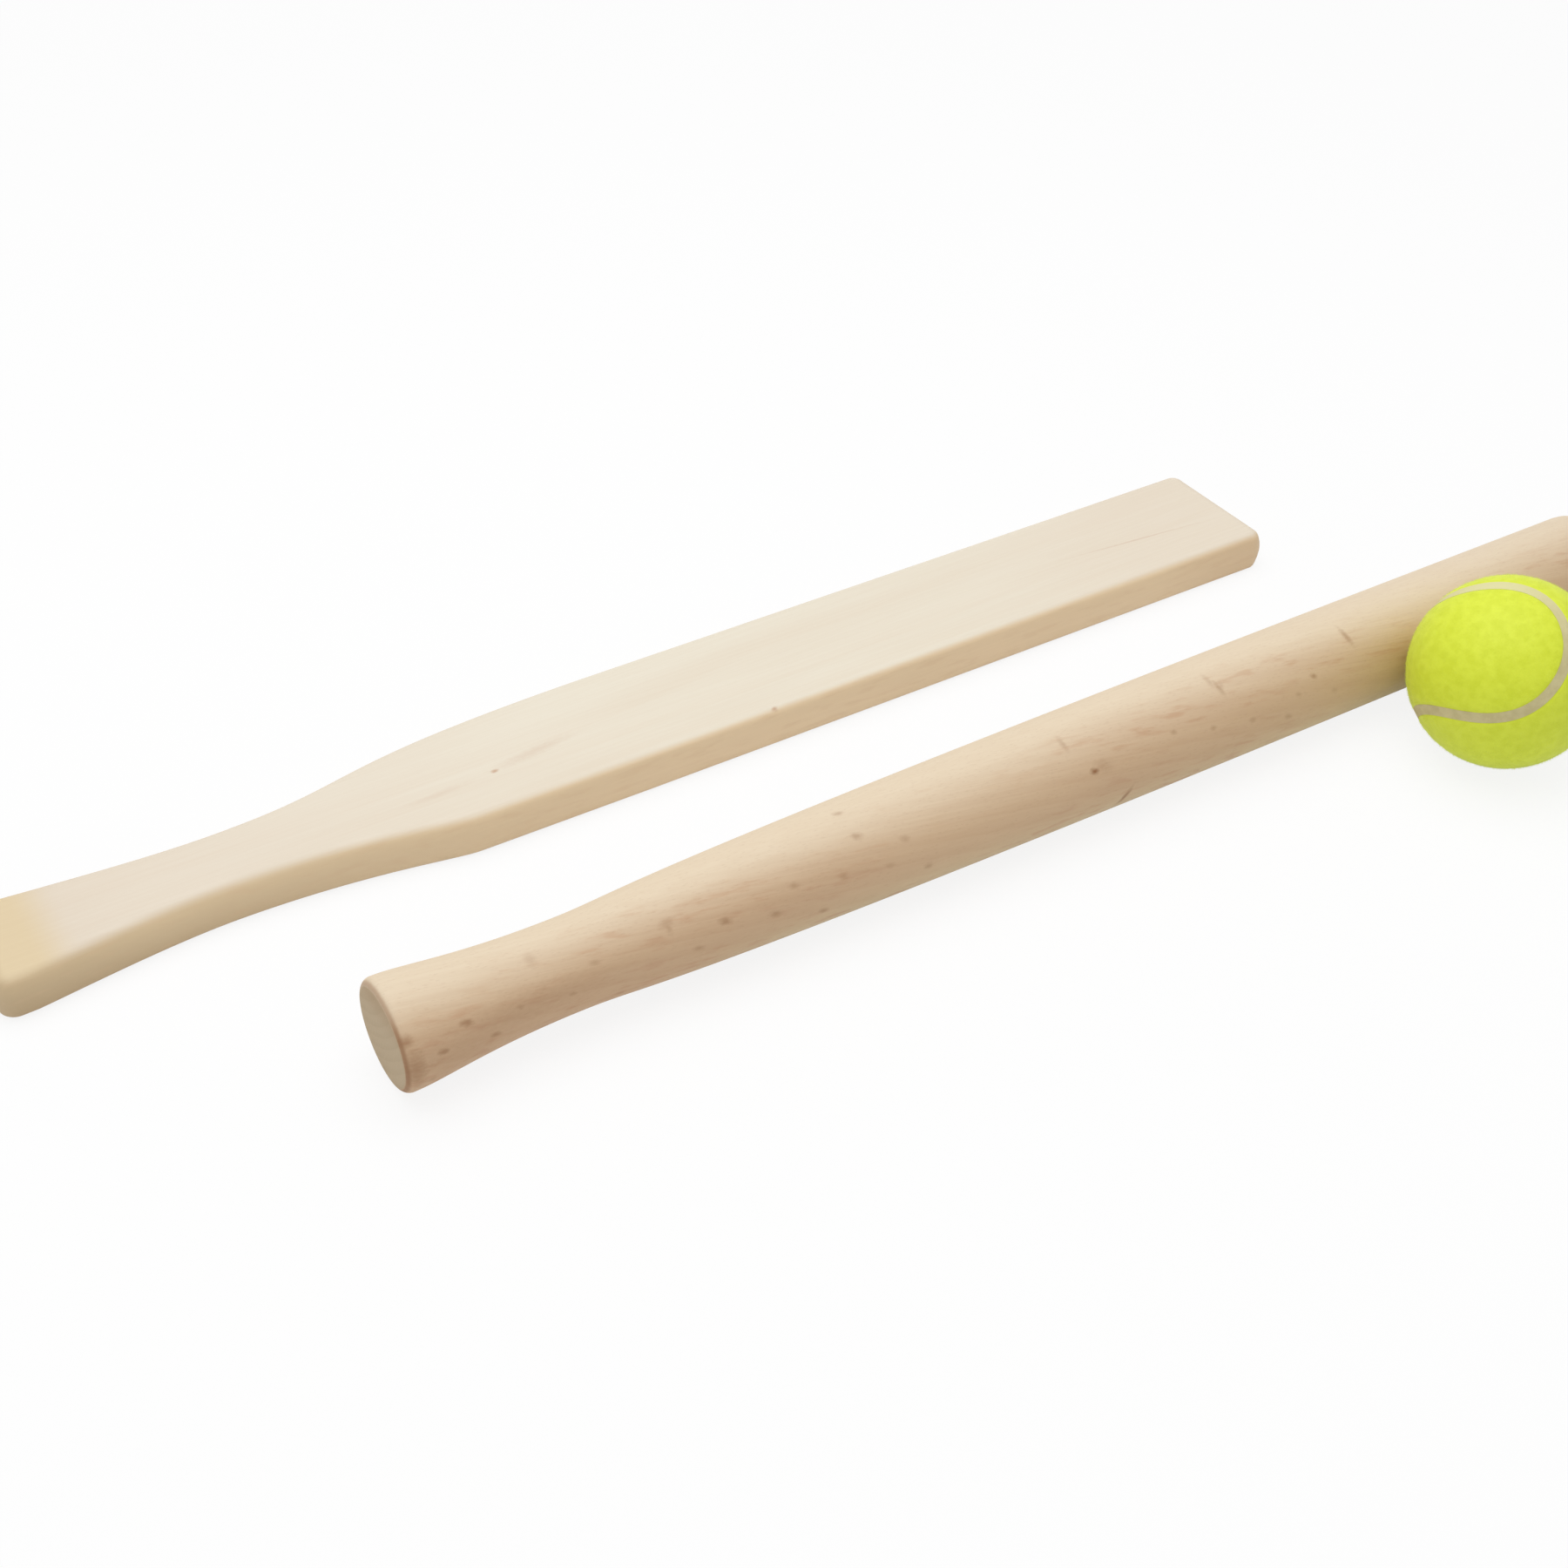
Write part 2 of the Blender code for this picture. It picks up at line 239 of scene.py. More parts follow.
# %% Flat bat crowned sides
TIP_CORNER, CORNER_SEGMENTS = 5.7 * MM, 8
CROWN_PLACES = (NECK_ALONG, FAR_SHOULDER, FLAT_LENGTH - TIP_CORNER, FLAT_LENGTH)
UPPER_CROWNS = (3.8 * MM, 1.1 * MM, 1.1 * MM, 2.6 * MM)
LOWER_CROWNS = (1.45 * MM, 0.42 * MM, 0.42 * MM, 2.9 * MM)
FAR_SHARE = 0.54
CROWN_CUTS = 6
butt_x, tip_x = flat_low.x, flat_low.x + FLAT_LENGTH


def stands_at(edge, x):
    """An upright edge at this place along the bat."""
    a, b = (vertex.co for vertex in edge.verts)
    return abs(a.z - b.z) > FLAT_THICKNESS / 2 and abs(a.x - x) < 1e-5


for corner_x, corner in ((butt_x, BUTT_CORNER), (tip_x, TIP_CORNER)):
    pick(flat_bat, "edges", lambda edge: stands_at(edge, corner_x))
    bpy.ops.mesh.bevel(offset=corner, segments=CORNER_SEGMENTS, affect="EDGES")
for cut in range(1, CROWN_CUTS):
    bpy.ops.mesh.select_all(action="SELECT")
    cut_height = flat_low.z + FLAT_THICKNESS * cut / CROWN_CUTS
    bpy.ops.mesh.bisect(plane_co=(0, 0, cut_height), plane_no=(0, 0, 1))
mesh = bmesh.from_edit_mesh(flat_bat.data)
mesh.normal_update()
for vertex in mesh.verts:
    outward = Vector((vertex.normal.x, vertex.normal.y, 0)).normalized()
    from_middle = (vertex.co.z - board_height) / (FLAT_THICKNESS / 2)
    upper = from_middle > 0
    crown = np.interp(vertex.co.x - butt_x, CROWN_PLACES, UPPER_CROWNS if upper else LOWER_CROWNS)
    share = np.interp(outward.y, (0, 1), (1, FAR_SHARE)) if upper else 1
    vertex.co -= outward * crown * share * from_middle**2
bmesh.update_edit_mesh(flat_bat.data)
print("crowned sides:", CROWN_CUTS, "rings")

# %% [markdown]
# ## Flat bat: eased edges
# Where the crown meets a broad face, sandpaper takes off the sharp edge. A bevel of a few segments does that,
# and a narrow inset margin inside it keeps the shading of the broad face flat.

# %% Flat bat eased edges
EASED_EDGE, EASED_SEGMENTS = 2.2 * MM, 5
FLAT_MARGIN = 0.4 * MM
TOP_TILTS, UNDERSIDE_TILTS = (0.6, 0.95), (0.93, 0.999)


def ends_broad_face(edge):
    tilts = sorted(abs(face.normal.z) for face in edge.link_faces)
    return tilts[0] < 0.8 and tilts[1] > 0.99


pick(flat_bat, "edges", ends_broad_face)
bpy.ops.mesh.bevel(offset=EASED_EDGE, segments=EASED_SEGMENTS, affect="EDGES")
pick(flat_bat, "faces", lambda face: abs(face.normal.z) > 0.999)
bpy.ops.mesh.inset(thickness=FLAT_MARGIN)
stop_editing()
normals = np.array([vertex.normal for vertex in flat_bat.data.vertices])
not_top = np.interp(normals[:, 2], TOP_TILTS, (1, 0))
not_underside = np.interp(-normals[:, 2], UNDERSIDE_TILTS, (1, 0))
store_values(flat_bat, "sawn_edge", not_top * not_underside)
store_values(flat_bat, "end_grain", normals[:, 0] ** 2)
print("flat bat:", count_triangles(flat_bat), "triangles")

# %% [markdown]
# ## Round bat: profile
# A turner makes this bat from a square blank: a long barrel, a slim grip and a flared butt that stops the
# hand. Its profile is a list of distances along the axis with the radius there.

# %% Round bat profile
round_low, round_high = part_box("round_bat")
ROUND_LENGTH = 500 * MM
BARREL_RADIUS = (round_high.z - round_low.z) / 2
BARREL_ALONG = 369 * MM
GRIP_RADIUS, GRIP_ALONG = 14.65 * MM, 58.7 * MM
BUTT_RADIUS, BUTT_RIM, TIP_ROUND = 18.1 * MM, 3.0 * MM, 12 * MM
ROUND_YAW = math.radians(-0.16)
FLARE_EASES, SWELL_EASES = (0.19, 0.57), (0.10, 0.97)
ARC_STEPS, FLARE_STRIDE, SWELL_STRIDE = 9, 5, 2


def rounded_corner(centre_along, centre_radius, size, first, last):
    angles = np.radians(np.linspace(first, last, ARC_STEPS))
    return np.column_stack([centre_along + size * np.cos(angles), centre_radius + size * np.sin(angles)])


rim = rounded_corner(BUTT_RIM, BUTT_RADIUS - BUTT_RIM, BUTT_RIM, 180, 87)
grip, barrel = (GRIP_ALONG, GRIP_RADIUS), (BARREL_ALONG, BARREL_RADIUS)
flare = eased_edge(tuple(rim[-1]), grip, *FLARE_EASES)[FLARE_STRIDE::FLARE_STRIDE]
swell = eased_edge(grip, barrel, *SWELL_EASES)[SWELL_STRIDE::SWELL_STRIDE]
tip = rounded_corner(ROUND_LENGTH - TIP_ROUND, BARREL_RADIUS - TIP_ROUND, TIP_ROUND, 90, 0)
round_profile = np.vstack([rim, flare, swell, tip])
print(f"round bat: {len(round_profile)} rings, barrel radius {BARREL_RADIUS:.4f} m")

# %% [markdown]
# ## Round bat: turning
# A profile could be spun round the axis. Extruding a disc ring by ring and resizing each new ring gives the
# same clean quads and closes both ends at once, so the bat grows from its butt as a bottle would.

# %% Round bat turning
ROUND_SIDES = 96
END_MARGIN = 0.6 * MM
axis = Vector((math.cos(ROUND_YAW), math.sin(ROUND_YAW), 0))
round_butt = Vector((round_low.x, 0, round_low.z + BARREL_RADIUS))
round_butt.y = round_low.y + BARREL_RADIUS - axis.y * (ROUND_LENGTH - TIP_ROUND)
bpy.ops.mesh.primitive_circle_add(
    vertices=ROUND_SIDES, radius=round_profile[0, 1], fill_type="NGON",
    location=round_butt, rotation=(0, math.pi / 2, ROUND_YAW),
)
round_bat = settle(bpy.context.object, "round_bat_wood")
start_editing(round_bat)
bpy.ops.mesh.select_all(action="SELECT")
for (last_along, last_radius), (along, radius) in zip(round_profile, round_profile[1:]):
    bpy.ops.mesh.extrude_region_move(TRANSFORM_OT_translate={"value": axis * (along - last_along)})
    grow = radius / last_radius
    bpy.ops.transform.resize(value=(grow, grow, grow), center_override=round_butt + axis * along)
pick(round_bat, "faces", lambda face: len(face.verts) == ROUND_SIDES)
bpy.ops.mesh.inset(thickness=END_MARGIN)
stop_editing()
normals = np.array([vertex.normal for vertex in round_bat.data.vertices])
store_values(round_bat, "end_grain", (normals @ np.array(axis)) ** 2)
print("round bat:", count_triangles(round_bat), "triangles")

# %% [markdown]
# ## Ball: the seam's curve
# Two equal dog-bone panels cover the ball, and one closed seam winds between them. Its latitude swings twice
# on the way round, and its longitude leads and lags four times, which draws the panels' round lobes. In one
# place, on top as the ball lies, the cement has spread and the front panel stands back from it.

# %% Ball seam curve
panel_boxes = [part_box("felt_panel_front"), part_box("felt_panel_back")]
ball_low = Vector([min(low[i] for low, _ in panel_boxes) for i in range(3)])
ball_high = Vector([max(high[i] for _, high in panel_boxes) for i in range(3)])
BALL_RADIUS = 33.5 * MM
BALL_CENTRE = Vector(((ball_low.x + ball_high.x) / 2, (ball_low.y + ball_high.y) / 2, BALL_RADIUS))
BALL_TURN = Euler([math.radians(angle) for angle in (177.5, 67.6, -69.5)]).to_matrix()
PANEL_WAIST, LOBE_SWING = 37.6 * MM, math.radians(18.3)
SEAM_WIDTH = 3.8 * MM
SPREAD_WIDTH, SPREAD_PLACE, SPREAD_REACH = 1.6 * MM, math.radians(178), math.radians(15)
SEAM_REACH = math.pi / 2 - PANEL_WAIST / BALL_RADIUS / 2
SEAM_SAMPLES = 1440


def unit(vectors):
    return vectors / np.linalg.norm(vectors, axis=-1, keepdims=True)


def seam_points(t, aside):
    """Points of a unit ball beside the seam, each at an angle aside, towards the front panel."""
    latitude = SEAM_REACH * np.sin(2 * t)
    longitude = t - LOBE_SWING * np.sin(4 * t)
    east = np.stack([-np.sin(longitude), np.cos(longitude), 0 * t], -1)
    out = np.stack([np.cos(longitude), np.sin(longitude), 0 * t], -1)
    up = np.array([0.0, 0.0, 1.0])
    place = np.cos(latitude)[..., None] * out + np.sin(latitude)[..., None] * up
    north = -np.sin(latitude)[..., None] * out + np.cos(latitude)[..., None] * up
    east_rate = (1 - 4 * LOBE_SWING * np.cos(4 * t)) * np.cos(latitude)
    north_rate = 2 * SEAM_REACH * np.cos(2 * t)
    along = east_rate[..., None] * east + north_rate[..., None] * north
    towards_panel = unit(np.cross(place, along))
    return np.cos(aside)[..., None] * place + np.sin(aside)[..., None] * towards_panel


def panel_points(along, across):
    """Points of a unit ball on the front panel: along and across run from -1 to 1."""
    side = np.array([1.0, 1.0, 0.0]) / math.sqrt(2)
    half_seam = np.full_like(along, SEAM_WIDTH / BALL_RADIUS / 2)
    edge = seam_points(math.pi / 4 + along * math.pi / 2, half_seam)
    reach = edge @ side
    middle = unit(edge - reach[..., None] * side)
    angle = across * np.arcsin(np.clip(reach, -1, 1))
    return np.cos(angle)[..., None] * middle + np.sin(angle)[..., None] * side


def spread(t):
    """How much further the cement reaches on to the front panel."""
    return SPREAD_WIDTH * np.exp(-(((t - SPREAD_PLACE) / SPREAD_REACH) ** 2))


seam_turns = np.linspace(0, 2 * math.pi, SEAM_SAMPLES)
seam_line = seam_points(seam_turns, 0 * seam_turns)

# %% [markdown]
# ## Ball: laying a grid on it
# No cut through a sphere follows this seam, so each skin starts as a flat grid. Every point of the grid is
# then carried to its place on the ball, as a cutter's pattern is wrapped over the core.

# %% Grid laid on the ball
WELD_GAP = 0.01 * MM


def lay_grid(name, rows, columns, points_at, radius_at, flip=False):
    """A grid wrapped on the ball. flip turns it half round, on to the back panel."""
    bpy.ops.mesh.primitive_grid_add(x_subdivisions=rows, y_subdivisions=columns, size=2)
    skin = settle(bpy.context.object, name)
    flat = np.empty(len(skin.data.vertices) * 3)
    skin.data.vertices.foreach_get("co", flat)
    along, across, _ = flat.reshape(-1, 3).T
    points = points_at(along, across)
    points = points * radius_at(points, across)[:, None]
    if flip:
        points = points * np.array([1.0, -1.0, -1.0])
    placed = points @ np.array(BALL_TURN).T + np.array(BALL_CENTRE)
    skin.data.vertices.foreach_set("co", placed.ravel())
    start_editing(skin)
    bpy.ops.mesh.select_all(action="SELECT")
    bpy.ops.mesh.remove_doubles(threshold=WELD_GAP)
    bpy.ops.mesh.normals_make_consistent(inside=False)
    outward = bmesh.from_edit_mesh(skin.data)
    outward.normal_update()
    outward.faces.ensure_lookup_table()
    middle = outward.faces[len(outward.faces) // 2]
    if middle.normal.dot(middle.calc_center_median() - BALL_CENTRE) < 0:
        bpy.ops.mesh.flip_normals()
    bpy.ops.object.mode_set(mode="OBJECT")
    return skin


def thicken(skin, depth):
    """Extrudes a skin straight towards the middle of the ball."""
    start_editing(skin)
    bpy.ops.mesh.select_all(action="SELECT")
    bpy.ops.mesh.extrude_region()
    shrink = 1 - depth / BALL_RADIUS
    bpy.ops.transform.resize(value=(shrink, shrink, shrink), center_override=BALL_CENTRE)
    stop_editing()


def beside_seam(points, front):
    """For points of a panel: the nearest seam places, the spread there, and how far off the cement is."""
    nearest = np.array([np.linalg.norm(seam_line - point, axis=1).argmin() for point in unit(points)])
    spreads = spread(seam_turns[nearest]) * front
    away = np.linalg.norm(unit(points) - seam_line[nearest], axis=1) * BALL_RADIUS
    return seam_line[nearest], spreads, away - SEAM_WIDTH / 2 - spreads


print("grids are laid from", len(seam_line), "seam points")

# %% [markdown]
# ## Ball: felt panels
# Each panel is a thick woven felt, glued down and steamed until its nap stands up. Its edges roll down into
# the seam. A cloud texture lifts the nap in soft lumps, and the whole skin is then extruded towards the core.

# %% Felt panels
PANEL_ROWS, PANEL_COLUMNS = 190, 64
FELT_THICKNESS = 2.6 * MM
FELT_SINK, EDGE_ROLL, ROLL_WIDTH = 0.1 * MM, 0.25 * MM, 1.5 * MM
BACK_REACH = 12 * MM
NAP_LUMP, NAP_HEIGHT = 1.3 * MM, 0.22 * MM


def front_points(along, across):
    """The panel's points, moved back from the seam where the cement has spread."""
    points = panel_points(along, across)
    seam_places, spreads, inside = beside_seam(points, True)
    move = spreads * np.clip(1 - (inside + spreads) / BACK_REACH, 0, 1) / BALL_RADIUS
    return unit(points + move[:, None] * unit(points - seam_places))


def felt_radius(points, front):
    inside = beside_seam(points, front)[2] / ROLL_WIDTH
    return BALL_RADIUS - FELT_SINK - EDGE_ROLL * (1 - np.clip(inside, 0, 1)) ** 2


nap = bpy.data.textures.new("nap lumps", "CLOUDS")
nap.noise_scale = NAP_LUMP
nap.noise_depth = 2
felt_panels = []
for name, front in (("felt_front", True), ("felt_back", False)):
    pattern = front_points if front else panel_points
    panel = lay_grid(
        name, PANEL_ROWS, PANEL_COLUMNS, pattern, lambda points, across: felt_radius(points, front), not front
    )
    apply_modifier(
        panel, "nap", "DISPLACE", texture=nap, texture_coords="LOCAL", strength=NAP_HEIGHT, mid_level=0.5
    )
    thicken(panel, FELT_THICKNESS)
    felt_panels.append(panel)
print("felt panels:", [count_triangles(panel) for panel in felt_panels], "triangles")

# %% [markdown]
# ## Ball: seam
# The seam is rubber cement that wells up between the panels. It is a shallow hollow band, so the grid that
# winds along the seam dips a little in its middle. Where it lies on top it is painted paler, a painted
# highlight where the light from above falls.

# %% Seam
SEAM_ROWS, SEAM_COLUMNS = 360, 6
SEAM_SINK, SEAM_DIP, SEAM_DEPTH = 0.22 * MM, 0.04 * MM, 1.8 * MM
SEAM_HIGHLIGHT_REACH = 28 * MM


def strip_points(along, across):
    t = math.pi / 4 + along * math.pi
    half = SEAM_WIDTH / 2 + spread(t) * (across > 0)
    return seam_points(t, across * half / BALL_RADIUS)


def strip_radius(points, across):
    return BALL_RADIUS - SEAM_SINK - SEAM_DIP * (1 - across**2)


def seam_highlight_share(seam_places):
    """1 in the middle of the spread cement on top, where the painted highlight is strongest, and 0 far from
    it.
    """
    middle = seam_points(np.array([SPREAD_PLACE]), np.zeros(1))
    return np.exp(-((np.linalg.norm(seam_places - middle, axis=1) * BALL_RADIUS / SEAM_HIGHLIGHT_REACH) ** 2))


seam = lay_grid("ball_seam_cement", SEAM_ROWS, SEAM_COLUMNS, strip_points, strip_radius)
thicken(seam, SEAM_DEPTH)
on_pattern = [(vertex.co - BALL_CENTRE) @ BALL_TURN for vertex in seam.data.vertices]
# The paler cement on top is a painted highlight, kept on the mesh for the material
store_values(seam, "painted_highlight", seam_highlight_share(beside_seam(np.array(on_pattern), True)[0]))
print("seam:", count_triangles(seam), "triangles")

# %% [markdown]
# ## Ball: fuzz
# Loose fibres stand out of the felt and soften the ball's outline. One fibre is a bent three-sided spike of
# ten faces. Copies are planted all over each panel, each with its own lean, bend, length and width.

# %% Fuzz
FIBRES = 12000
FIBRE_LENGTH, FIBRE_WIDTH = (0.5 * MM, 1.1 * MM), (0.030 * MM, 0.050 * MM)
LEAN, BARE_EDGE = (0.7, 1.7), 0.7 * MM
OUTER_SKIN, FIBRE_GAP = 1.4 * MM, 0.05 * MM
SPOKE_ANGLES, KNEE_SHARE = (0.0, 2.094, 4.189), 0.8
# Corners 0 to 2 are a fibre's foot, 3 to 5 its knee and 6 its end
SPIKE = [(2, 1, 0), (0, 1, 4, 3), (1, 2, 5, 4), (2, 0, 3, 5), (3, 4, 6), (4, 5, 6), (5, 3, 6)]


def scatter_roots(panel, draw):
    """Random places on the outer face of a panel, spread evenly over its area."""
    panel.data.calc_loop_triangles()
    corners = np.array([panel.data.vertices[i].co for tri in panel.data.loop_triangles for i in tri.vertices])
    a, b, c = corners.reshape(-1, 3, 3).transpose(1, 0, 2)
    areas = np.linalg.norm(np.cross(b - a, c - a), axis=1)
    outer = np.linalg.norm((a + b + c) / 3 - np.array(BALL_CENTRE), axis=1) > BALL_RADIUS - OUTER_SKIN
    chosen = draw.choice(len(a), FIBRES, p=areas * outer / (areas * outer).sum())
    u, v = draw.random((2, FIBRES, 1))
    u, v = np.where(u + v > 1, 1 - u, u), np.where(u + v > 1, 1 - v, v)
    return a[chosen] + u * (b - a)[chosen] + v * (c - a)[chosen]


def plant_fibres(name, panel, seed, front):
    draw = np.random.default_rng(seed)
    root = scatter_roots(panel, draw)
    out = unit(root - np.array(BALL_CENTRE))
    sideways = unit(np.cross(out, draw.normal(size=(FIBRES, 3))))
    length = draw.uniform(*FIBRE_LENGTH, (FIBRES, 1))
    lean = draw.uniform(*LEAN, (FIBRES, 1))
    bend = root + length * 0.5 * unit(out + 0.5 * lean * sideways)
    end = bend + length * 0.5 * unit(out * 0.4 + lean * sideways)
    # Fibres that would reach into the ground or into the round bat are pressed flat there, and those at the
    # seam are glued down, so they are left out
    from_axis = np.linalg.norm(np.cross(end - np.array(round_butt), np.array(axis)), axis=1)
    stands = (end[:, 2] > FIBRE_GAP) & (from_axis > BARREL_RADIUS + FIBRE_GAP)
    on_pattern = (root - np.array(BALL_CENTRE)) @ np.array(BALL_TURN)
    stands &= beside_seam(on_pattern, front)[2] > BARE_EDGE
    half = draw.uniform(*FIBRE_WIDTH, (FIBRES, 1)) / 2
    across = unit(np.cross(out, sideways))
    spokes = [math.cos(k) * across + math.sin(k) * sideways for k in SPOKE_ANGLES]
    foot = [root + half * spoke for spoke in spokes]
    knee = [bend + KNEE_SHARE * half * spoke for spoke in spokes]
    points = np.stack([*foot, *knee, end], 1)[stands].reshape(-1, 3)
    faces = [tuple(7 * k + corner for corner in face) for k in range(int(stands.sum())) for face in SPIKE]
    mesh = bpy.data.meshes.new(name)
    mesh.from_pydata(points, [], faces)
    fuzz = bpy.data.objects.new(name, mesh)
    bpy.context.scene.collection.objects.link(fuzz)
    start_editing(fuzz)
    stop_editing(smooth_below=80)
    return fuzz


felt_fuzz = [
    plant_fibres(panel.name + "_fuzz", panel, seed, front)
    for seed, (panel, front) in enumerate(zip(felt_panels, (True, False)))
]
print("fuzz:", [count_triangles(fuzz) for fuzz in felt_fuzz], "triangles")

# %% [markdown]
# ## Shader nodes in short
# Materials are graphs of nodes. These helpers add a node with its settings and joins in one line, so that a
# finish reads from top to bottom. Colours are written as on a paint chart, from 0 to 255.

# %% Node helpers
def node(tree, kind, inputs=(), **settings):
    """Adds a shader node. An input is a value, or another node's output to join to it."""
    made = tree.nodes.new("ShaderNode" + kind)
    for name, value in settings.items():
        setattr(made, name, value)
    for name, value in dict(inputs).items():
        if isinstance(value, bpy.types.NodeSocket):
            tree.links.new(value, made.inputs[name])
        else:
            made.inputs[name].default_value = value
    return made


def maths(tree, operation, first, second=0.0):
    return node(tree, "Math", {0: first, 1: second}, operation=operation).outputs[0]


def times(tree, first, second):
    return maths(tree, "MULTIPLY", first, second)


def rest_of(tree, mask):
    return maths(tree, "SUBTRACT", 1.0, mask)


def vector_maths(tree, operation, first, second):
    return node(tree, "VectorMath", {0: first, 1: second}, operation=operation).outputs[0]


def mix_colour(tree, share, first, second):
    return node(tree, "Mix", {0: share, 6: first, 7: second}, data_type="RGBA").outputs[2]


def tint(tree, base, mask, share, shade):
    """Gives the base a share of another colour where the mask is 1."""
    return mix_colour(tree, times(tree, mask, share), base, shade)


def read_values(tree, name):
    """The numbers that store_values kept on the mesh."""
    return node(tree, "Attribute", attribute_name=name).outputs["Fac"]


def rise(tree, value, low, high, top=1.0):
    """Goes smoothly from 0 at low to top at high."""
    inputs = {"Value": value, "From Min": low, "From Max": high, "To Min": 0.0, "To Max": top}
    return node(tree, "MapRange", inputs, interpolation_type="SMOOTHSTEP").outputs[0]


def fall(tree, value, low, high):
    """Goes smoothly from 1 at low to 0 at high."""
    return rest_of(tree, rise(tree, value, low, high))


def stretched_noise(tree, vector, stretch, detail=3.0, roughness=0.5):
    """Noise with so many lumps to the metre along each axis."""
    scaled = vector_maths(tree, "MULTIPLY", vector, stretch)
    inputs = {"Vector": scaled, "Scale": 1.0, "Detail": detail, "Roughness": roughness}
    return node(tree, "TexNoise", inputs).outputs[0]


def colour(red, green, blue):
    def linear(value):
        share = value / 255
        return share / 12.92 if share <= 0.04045 else ((share + 0.055) / 1.055) ** 2.4

    return (linear(red), linear(green), linear(blue), 1.0)


def new_group(name, inputs, outputs):
    """A node group with named sockets: returns the tree, its input sockets and its output sockets."""
    tree = bpy.data.node_groups.new(name, "ShaderNodeTree")
    for label, kind in inputs.items():
        tree.interface.new_socket(label, in_out="INPUT", socket_type="NodeSocket" + kind)
    for label in outputs:
        tree.interface.new_socket(label, in_out="OUTPUT", socket_type="NodeSocketFloat")
    return tree, tree.nodes.new("NodeGroupInput").outputs, tree.nodes.new("NodeGroupOutput").inputs


def use_group(tree, group, inputs):
    return node(tree, "Group", inputs, node_tree=group).outputs


def new_material(name, **shader_values):
    """A material with a Principled shader: returns it, its tree and the shader's input sockets."""
    material = bpy.data.materials.new(name)
    material.use_nodes = True
    shader = material.node_tree.nodes["Principled BSDF"].inputs
    for label, value in shader_values.items():
        shader[label.replace("_", " ")].default_value = value
    return material, material.node_tree, shader


def bump(tree, height, distance):
    return node(tree, "Bump", {"Height": height, "Distance": distance, "Strength": 1.0}).outputs[0]


print("node helpers ready")

# %% [markdown]
# ## Wood grain
# Both bats are wood, so they share one group. A tree grows in rings round its pith, and a board or a turned
# blank is a cut through them: the distance from the pith, made to wander, gives the rings wherever the cut
# lies. Figure is short soft strokes and fibres are fine streaks, both noises drawn out along the grain, and
# tone is the slow drift of colour from place to place.

# %% Wood grain group
wood_grain, given, made = new_group(
    "wood_grain", {"Vector": "Vector", "Pith": "Vector", "Ring Gap": "Float", "Wander": "Float"},
    ("Rings", "Figure", "Fibres", "Tone"),
)
RING_STRETCH, DRIFT_MIDDLE = (3, 16, 16), 0.5
LATE_WOOD, YEAR_END = (0.25, 0.9), (0.9, 1.0)
STREAKS = {
    "Figure": ((80, 430, 430), 0.50, 0.72),
    "Fibres": ((22, 900, 900), 0.30, 0.70),
    "Tone": ((7, 45, 45), 0.30, 0.70),
}
from_pith = vector_maths(wood_grain, "SUBTRACT", given["Vector"], given["Pith"])
across_grain = vector_maths(wood_grain, "MULTIPLY", from_pith, (0.0, 1.0, 1.0))
distance = node(wood_grain, "VectorMath", {0: across_grain}, operation="LENGTH").outputs["Value"]
drift = stretched_noise(wood_grain, given["Vector"], RING_STRETCH, 2.0)
drift = maths(wood_grain, "SUBTRACT", drift, DRIFT_MIDDLE)
drift = times(wood_grain, drift, given["Wander"])
rings = maths(wood_grain, "DIVIDE", maths(wood_grain, "ADD", distance, drift), given["Ring Gap"])
ring = maths(wood_grain, "FRACT", rings)
late_wood = rise(wood_grain, ring, *LATE_WOOD)
year_end = fall(wood_grain, ring, *YEAR_END)
wood_grain.links.new(times(wood_grain, late_wood, year_end), made["Rings"])
for label, (stretch, low, high) in STREAKS.items():
    noise = stretched_noise(wood_grain, given["Vector"], stretch)
    wood_grain.links.new(rise(wood_grain, noise, low, high), made[label])
print("group wood_grain:", len(wood_grain.nodes), "nodes")

# %% [markdown]
# ## Marks in the wood
# Small knots, flecks and tool scores are soft ovals, each at its own place, so one group draws any of them:
# it moves the mark to the middle, turns it, shrinks it to a unit ball and fades out from there.

# %% Wood mark group
wood_mark, given, made = new_group(
    "wood_mark", {"Vector": "Vector", "Place": "Vector", "Size": "Vector", "Turn": "Float"}, ("Mark",)
)
RAGGED, RAGGED_STRETCH = 0.7, (500, 900, 900)
from_mark = vector_maths(wood_mark, "SUBTRACT", given["Vector"], given["Place"])
inputs = {"Vector": from_mark, "Angle": given["Turn"]}
turned = node(wood_mark, "VectorRotate", inputs, rotation_type="Z_AXIS").outputs[0]
shrunk = vector_maths(wood_mark, "DIVIDE", turned, given["Size"])
away = node(wood_mark, "VectorMath", {0: shrunk}, operation="LENGTH").outputs["Value"]
ragged = maths(wood_mark, "SUBTRACT", stretched_noise(wood_mark, given["Vector"], RAGGED_STRETCH), 0.5)
away = maths(wood_mark, "ADD", away, times(wood_mark, ragged, RAGGED))
wood_mark.links.new(fall(wood_mark, away, 0.0, 1.0), made["Mark"])
print("group wood_mark:", len(wood_mark.nodes), "nodes")


def draw_marks(tree, vector, marks):
    """The strongest of several marks: each is a place, a size, a turn and a strength."""
    strongest = None
    for place, size, turn, strength in marks:
        inputs = {"Vector": vector, "Place": place, "Size": size, "Turn": turn}
        mark = times(tree, use_group(tree, wood_mark, inputs)["Mark"], strength)
        strongest = mark if strongest is None else maths(tree, "MAXIMUM", strongest, mark)
    return strongest
